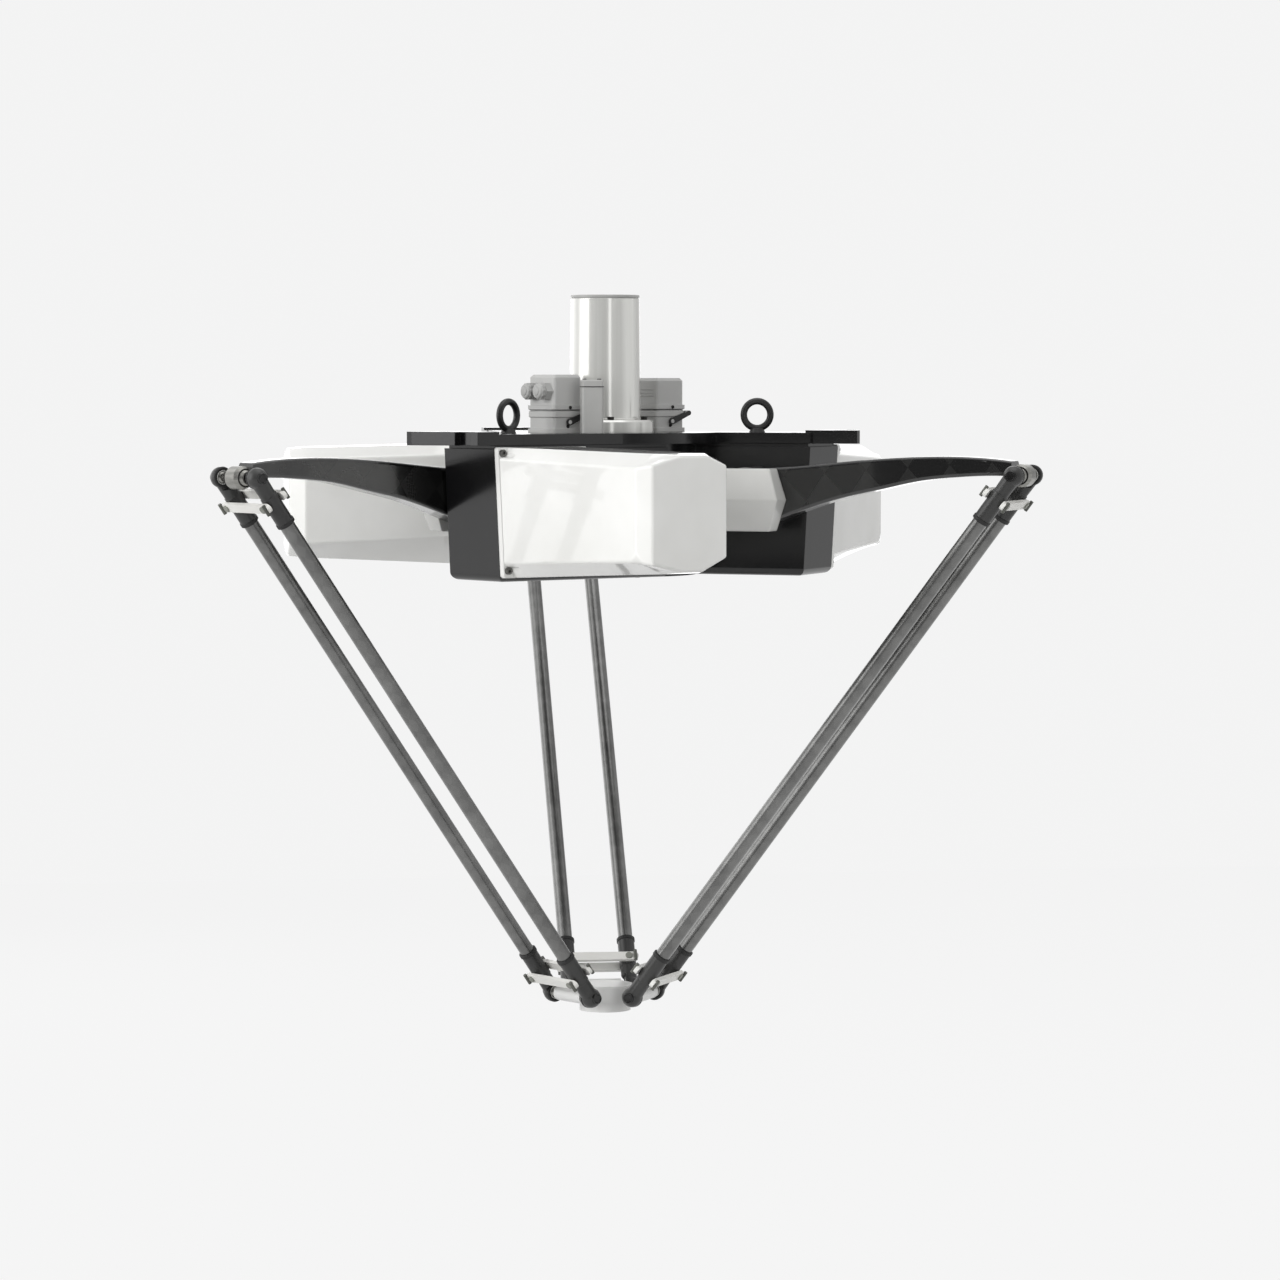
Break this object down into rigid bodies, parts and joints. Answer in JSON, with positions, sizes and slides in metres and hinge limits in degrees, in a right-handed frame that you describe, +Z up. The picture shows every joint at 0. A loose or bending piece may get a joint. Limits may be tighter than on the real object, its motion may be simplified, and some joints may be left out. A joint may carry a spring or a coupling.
{
  "type": "delta robot",
  "caption": "Ceiling-mounted delta robot: drive head with motor covers, hinged carbon arms, paired ball-jointed rods and a small tool platform.",
  "frame": {"origin": "centre of the ceiling bolt circle, in the top plane of the three mounting pads", "axes": "+Z up out of the mounting pads, +Y along the first arm, away from the tool side of the picture's view"},
  "size_m": [0.9856, 0.986, 0.8765],
  "materials": {
    "coated_casting": "gloss black coat",
    "white_cover": "glossy warm white",
    "cap_cover": "satin light grey",
    "carbon_arm": "woven carbon fibre, clear coat",
    "carbon_rod": "wound carbon fibre, clear coat",
    "socket_plastic": "moulded dark grey",
    "tie_plastic": "white",
    "bright_steel": "ground",
    "dark_steel": "blackened",
    "eye_steel": "black coat",
    "drive_casting": "anodised grey",
    "column_coat": "warm light grey coat",
    "column_cap": "dark grey",
    "connector_shell": "grey powder coat",
    "gland_plastic": "grey",
    "lever_plastic": "black",
    "platform_coat": "pale anodised"
  },
  "bodies": {
    "base": {"top_plate": "coated_casting", "plate_screws": "dark_steel", "base_housing": "coated_casting", "bottom_cover": "coated_casting", "cover_screws": "dark_steel", "eyebolts": "eye_steel", "column_flange": "column_coat", "column": "column_coat", "column_cap": "column_cap", "column_screws": "dark_steel", "junction_box": "connector_shell", "cable_glands": "gland_plastic", "connector_base_left": "connector_shell", "connector_hood_left": "connector_shell", "connector_base_right": "connector_shell", "connector_hood_right": "connector_shell", "gearbox_1": "drive_casting", "gearbox_2": "drive_casting", "gearbox_3": "drive_casting", "motor_1": "drive_casting", "motor_2": "drive_casting", "motor_3": "drive_casting", "motor_cover_1": "white_cover", "motor_cover_2": "white_cover", "motor_cover_3": "white_cover"},
    "swing_arm_1": {"arm_1": "carbon_arm", "output_shaft_1": "dark_steel", "hub_screws_1": "dark_steel", "hub_cap_1": "cap_cover", "elbow_shaft_1": "bright_steel"},
    "swing_arm_2": {"arm_2": "carbon_arm", "output_shaft_2": "dark_steel", "hub_screws_2": "dark_steel", "hub_cap_2": "cap_cover", "elbow_shaft_2": "bright_steel"},
    "swing_arm_3": {"arm_3": "carbon_arm", "output_shaft_3": "dark_steel", "hub_screws_3": "dark_steel", "hub_cap_3": "cap_cover", "elbow_shaft_3": "bright_steel"},
    "rod_pair_1": {"rods_1": "carbon_rod", "rod_sockets_1": "socket_plastic", "lower_balls_1": "bright_steel", "tie_bars_1": "tie_plastic", "tie_pins_1": "dark_steel"},
    "rod_pair_2": {"rods_2": "carbon_rod", "rod_sockets_2": "socket_plastic", "lower_balls_2": "bright_steel", "tie_bars_2": "tie_plastic", "tie_pins_2": "dark_steel"},
    "rod_pair_3": {"rods_3": "carbon_rod", "rod_sockets_3": "socket_plastic", "lower_balls_3": "bright_steel", "tie_bars_3": "tie_plastic", "tie_pins_3": "dark_steel"},
    "effector": {"platform": "platform_coat", "tool_flange": "platform_coat", "flange_screws": "dark_steel"},
    "lever_left": {"locking_lever_left": "lever_plastic"},
    "lever_right": {"locking_lever_right": "lever_plastic"}
  },
  "joints": [
    {"name": "arm_1_swing", "type": "hinge", "parent": "base", "child": "swing_arm_1", "pos_m": [0, 0.19, -0.083], "axis": [-1, 0, 0], "range_deg": [0, 35]},
    {"name": "arm_2_swing", "type": "hinge", "parent": "base", "child": "swing_arm_2", "pos_m": [-0.16454, -0.095, -0.083], "axis": [0.5, -0.866, 0], "range_deg": [0, 35]},
    {"name": "arm_3_swing", "type": "hinge", "parent": "base", "child": "swing_arm_3", "pos_m": [0.16454, -0.095, -0.083], "axis": [0.5, 0.866, 0], "range_deg": [0, 35]},
    {"name": "rod_pair_1_swing", "type": "hinge", "parent": "swing_arm_1", "child": "rod_pair_1", "pos_m": [0, 0.533, -0.052], "axis": [-1, 0, 0], "range_deg": [-38.88, 0]},
    {"name": "rod_pair_2_swing", "type": "hinge", "parent": "swing_arm_2", "child": "rod_pair_2", "pos_m": [-0.46159, -0.2665, -0.052], "axis": [0.5, -0.866, 0], "range_deg": [-38.88, 0]},
    {"name": "rod_pair_3_swing", "type": "hinge", "parent": "swing_arm_3", "child": "rod_pair_3", "pos_m": [0.46159, -0.2665, -0.052], "axis": [0.5, 0.866, 0], "range_deg": [-38.88, 0]},
    {"name": "effector_lift", "type": "slide", "parent": "base", "child": "effector", "axis": [0, 0, 1], "range_m": [-0.23346, 0]},
    {"name": "lever_left_turn", "type": "hinge", "parent": "base", "child": "lever_left", "pos_m": [-0.0688, -0.0614, 0.01], "axis": [0.5, -0.866, 0], "range_deg": [-35, 0]},
    {"name": "lever_right_turn", "type": "hinge", "parent": "base", "child": "lever_right", "pos_m": [0.073, 0.055, 0.01], "axis": [0.5, -0.866, 0], "range_deg": [-35, 0]}
  ],
  "couplings": [
    {"joint": "arm_2_swing", "follows": "arm_1_swing", "ratio": 1},
    {"joint": "arm_3_swing", "follows": "arm_1_swing", "ratio": 1},
    {"joint": "rod_pair_1_swing", "follows": "arm_1_swing", "ratio": -1.1107},
    {"joint": "rod_pair_2_swing", "follows": "arm_1_swing", "ratio": -1.1107},
    {"joint": "rod_pair_3_swing", "follows": "arm_1_swing", "ratio": -1.1107},
    {"joint": "effector_lift", "follows": "arm_1_swing", "m_per_rad": -0.38217}
  ]
}
